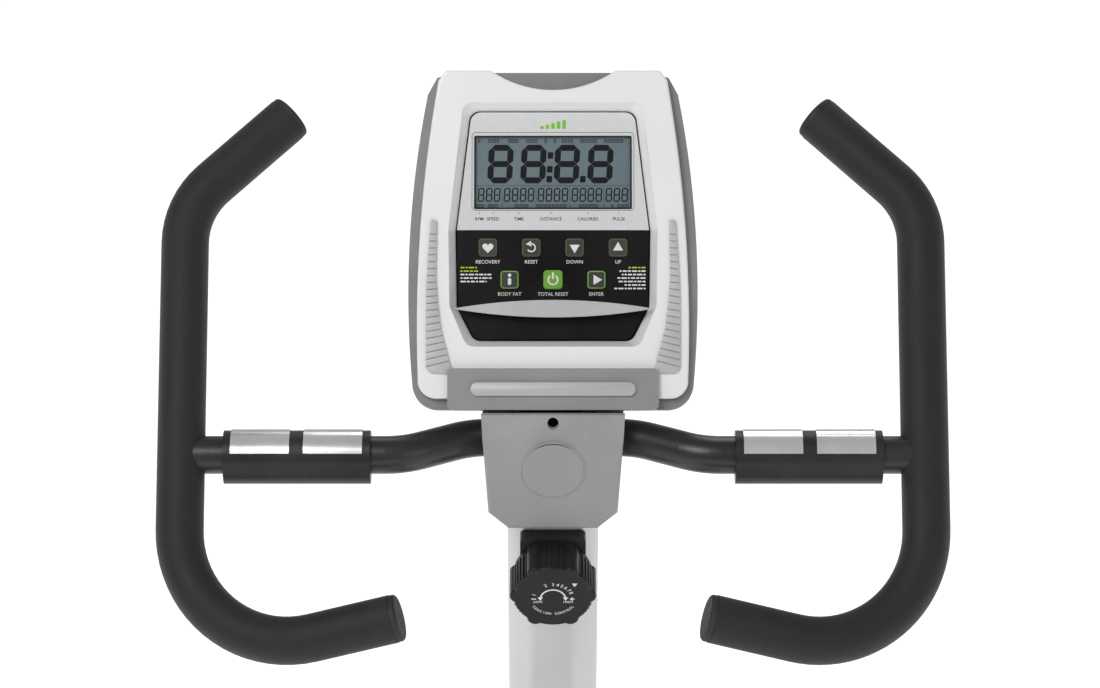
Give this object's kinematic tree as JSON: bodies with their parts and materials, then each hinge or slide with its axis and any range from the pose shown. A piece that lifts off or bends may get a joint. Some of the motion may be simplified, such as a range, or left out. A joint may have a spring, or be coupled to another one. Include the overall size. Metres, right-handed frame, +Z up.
{
  "type": "exercise bike",
  "caption": "Upright magnetic exercise bike with a console, pulse grips, a tension knob, a height-adjustable saddle and a belt-driven flywheel.",
  "frame": {"origin": "on the floor, at the middle of the bike's box", "axes": "+X to the rider's right, +Y the way the rider faces, +Z up"},
  "size_m": [0.594, 0.98, 1.3578],
  "materials": {
    "frame_paint": "silver-grey satin paint",
    "mast_paint": "silver satin paint",
    "black_steel": "black powder coat",
    "bright_steel": "brushed",
    "chrome_steel": "polished",
    "cast_iron": "turned and oiled",
    "zinc_steel": "zinc plated",
    "magnet": "nickel plated",
    "shroud_plastic": "fine moulded texture, silver grey",
    "grey_plastic": "satin mid grey",
    "lip_plastic": "satin light grey",
    "trim_plastic": "satin pale grey",
    "white_plastic": "glossy white",
    "black_plastic": "satin black",
    "overlay_print": "printed faceplate, black with a silver head",
    "lcd_glass": "blue-grey display",
    "board": "green board",
    "button_plastic": "dark keys with printed symbols",
    "green_button": "green key",
    "foam": "closed-cell foam",
    "rubber": "moulded rubber",
    "belt_rubber": "ribbed belt",
    "saddle_cover": "black coated fabric over foam"
  },
  "bodies": {
    "frame": {"main_frame": "frame_paint", "front_stabilizer": "frame_paint", "rear_stabilizer": "frame_paint", "front_end_caps": "black_plastic", "rear_end_caps": "rubber", "frame_bolts": "chrome_steel", "crank_bearings": "bright_steel", "flywheel_axle": "zinc_steel", "drive_belt": "belt_rubber", "tension_cable": "black_plastic", "shroud_left": "shroud_plastic", "shroud_right": "shroud_plastic", "shroud_screws": "zinc_steel", "mast_boot": "black_plastic", "mast": "mast_paint", "knob_housing": "black_plastic", "handlebar": "black_steel", "handlebar_clamp": "black_steel", "foam_grips": "foam", "bar_end_caps": "rubber", "pulse_housings": "black_plastic", "pulse_plates": "chrome_steel", "neck_cover_front": "grey_plastic", "neck_cover_rear": "grey_plastic", "console_back": "grey_plastic", "console_bezel": "white_plastic", "console_overlay": "overlay_print", "console_lcd": "lcd_glass", "console_pcb": "board", "console_page_bar": "lip_plastic", "console_lip": "lip_plastic", "console_trims": "trim_plastic"},
    "crank": {"crank_axle": "zinc_steel", "drive_pulley": "black_plastic", "crank_arm_left": "black_steel", "crank_arm_right": "black_steel", "crank_bolt_caps": "black_plastic"},
    "left_pedal": {"pedal_left": "black_plastic", "pedal_strap_left": "rubber"},
    "right_pedal": {"pedal_right": "black_plastic", "pedal_strap_right": "rubber"},
    "flywheel": {"flywheel": "cast_iron"},
    "brake_arm": {"brake_bracket": "zinc_steel", "brake_magnets": "magnet"},
    "tension_knob": {"tension_knob": "black_plastic"},
    "seat_post": {"seat_post": "chrome_steel"},
    "seat_height_knob": {"seat_height_knob": "black_plastic"},
    "saddle": {"saddle_slider": "black_steel", "saddle_pan": "black_plastic", "saddle_cushion": "saddle_cover"},
    "left_transport_wheel": {"transport_wheel_left": "rubber"},
    "right_transport_wheel": {"transport_wheel_right": "rubber"},
    "battery_door": {"battery_door": "grey_plastic"},
    "button_recovery": {"button_recovery": "button_plastic"},
    "button_reset": {"button_reset": "button_plastic"},
    "button_down": {"button_down": "button_plastic"},
    "button_up": {"button_up": "button_plastic"},
    "button_body_fat": {"button_body_fat": "button_plastic"},
    "button_total_reset": {"button_total_reset": "green_button"},
    "button_enter": {"button_enter": "button_plastic"}
  },
  "joints": [
    {"name": "crank_spin", "type": "hinge", "parent": "frame", "child": "crank", "pos_m": [0, -0.01, 0.3], "axis": [-1, 0, 0], "continuous": true},
    {"name": "left_pedal_spin", "type": "hinge", "parent": "crank", "child": "left_pedal", "pos_m": [-0.152, -0.18, 0.3], "axis": [-1, 0, 0], "continuous": true},
    {"name": "right_pedal_spin", "type": "hinge", "parent": "crank", "child": "right_pedal", "pos_m": [0.152, 0.16, 0.3], "axis": [-1, 0, 0], "continuous": true},
    {"name": "flywheel_spin", "type": "hinge", "parent": "frame", "child": "flywheel", "pos_m": [0, 0.25, 0.25], "axis": [-1, 0, 0], "continuous": true},
    {"name": "tension_turn", "type": "hinge", "parent": "frame", "child": "tension_knob", "pos_m": [0, 0.17406, 1.01549], "axis": [0, -0.9848, -0.1736], "range_deg": [-135, 135]},
    {"name": "brake_swing", "type": "hinge", "parent": "frame", "child": "brake_arm", "pos_m": [0, 0.38244, 0.17958], "axis": [1, 0, 0], "range_deg": [-2.5, 2.5]},
    {"name": "seat_height", "type": "slide", "parent": "frame", "child": "seat_post", "axis": [0, -0.2588, 0.9659], "range_m": [0, 0.175]},
    {"name": "seat_pin_pull", "type": "slide", "parent": "frame", "child": "seat_height_knob", "axis": [0, -0.9659, -0.2588], "range_m": [0, 0.012], "stiffness_N_per_m": 600, "springref_m": -0.004},
    {"name": "saddle_shift", "type": "slide", "parent": "seat_post", "child": "saddle", "axis": [0, 1, 0], "range_m": [-0.025, 0.025]},
    {"name": "left_wheel_spin", "type": "hinge", "parent": "frame", "child": "left_transport_wheel", "pos_m": [-0.228, 0.465, 0.03], "axis": [-1, 0, 0], "continuous": true},
    {"name": "right_wheel_spin", "type": "hinge", "parent": "frame", "child": "right_transport_wheel", "pos_m": [0.228, 0.465, 0.03], "axis": [-1, 0, 0], "continuous": true},
    {"name": "battery_door_slide", "type": "slide", "parent": "frame", "child": "battery_door", "axis": [0, 0.5878, 0.809], "range_m": [0, 0.03]},
    {"name": "button_recovery_press", "type": "slide", "parent": "frame", "child": "button_recovery", "axis": [0, 0.809, -0.5878], "range_m": [0, 0.001], "stiffness_N_per_m": 500, "springref_m": -0.0002},
    {"name": "button_reset_press", "type": "slide", "parent": "frame", "child": "button_reset", "axis": [0, 0.809, -0.5878], "range_m": [0, 0.001], "stiffness_N_per_m": 500, "springref_m": -0.0002},
    {"name": "button_down_press", "type": "slide", "parent": "frame", "child": "button_down", "axis": [0, 0.809, -0.5878], "range_m": [0, 0.001], "stiffness_N_per_m": 500, "springref_m": -0.0002},
    {"name": "button_up_press", "type": "slide", "parent": "frame", "child": "button_up", "axis": [0, 0.809, -0.5878], "range_m": [0, 0.001], "stiffness_N_per_m": 500, "springref_m": -0.0002},
    {"name": "button_body_fat_press", "type": "slide", "parent": "frame", "child": "button_body_fat", "axis": [0, 0.809, -0.5878], "range_m": [0, 0.001], "stiffness_N_per_m": 500, "springref_m": -0.0002},
    {"name": "button_total_reset_press", "type": "slide", "parent": "frame", "child": "button_total_reset", "axis": [0, 0.809, -0.5878], "range_m": [0, 0.001], "stiffness_N_per_m": 500, "springref_m": -0.0002},
    {"name": "button_enter_press", "type": "slide", "parent": "frame", "child": "button_enter", "axis": [0, 0.809, -0.5878], "range_m": [0, 0.001], "stiffness_N_per_m": 500, "springref_m": -0.0002}
  ],
  "couplings": [
    {"joint": "flywheel_spin", "follows": "crank_spin", "ratio": 6},
    {"joint": "brake_swing", "follows": "tension_turn", "ratio": 0.0185}
  ]
}
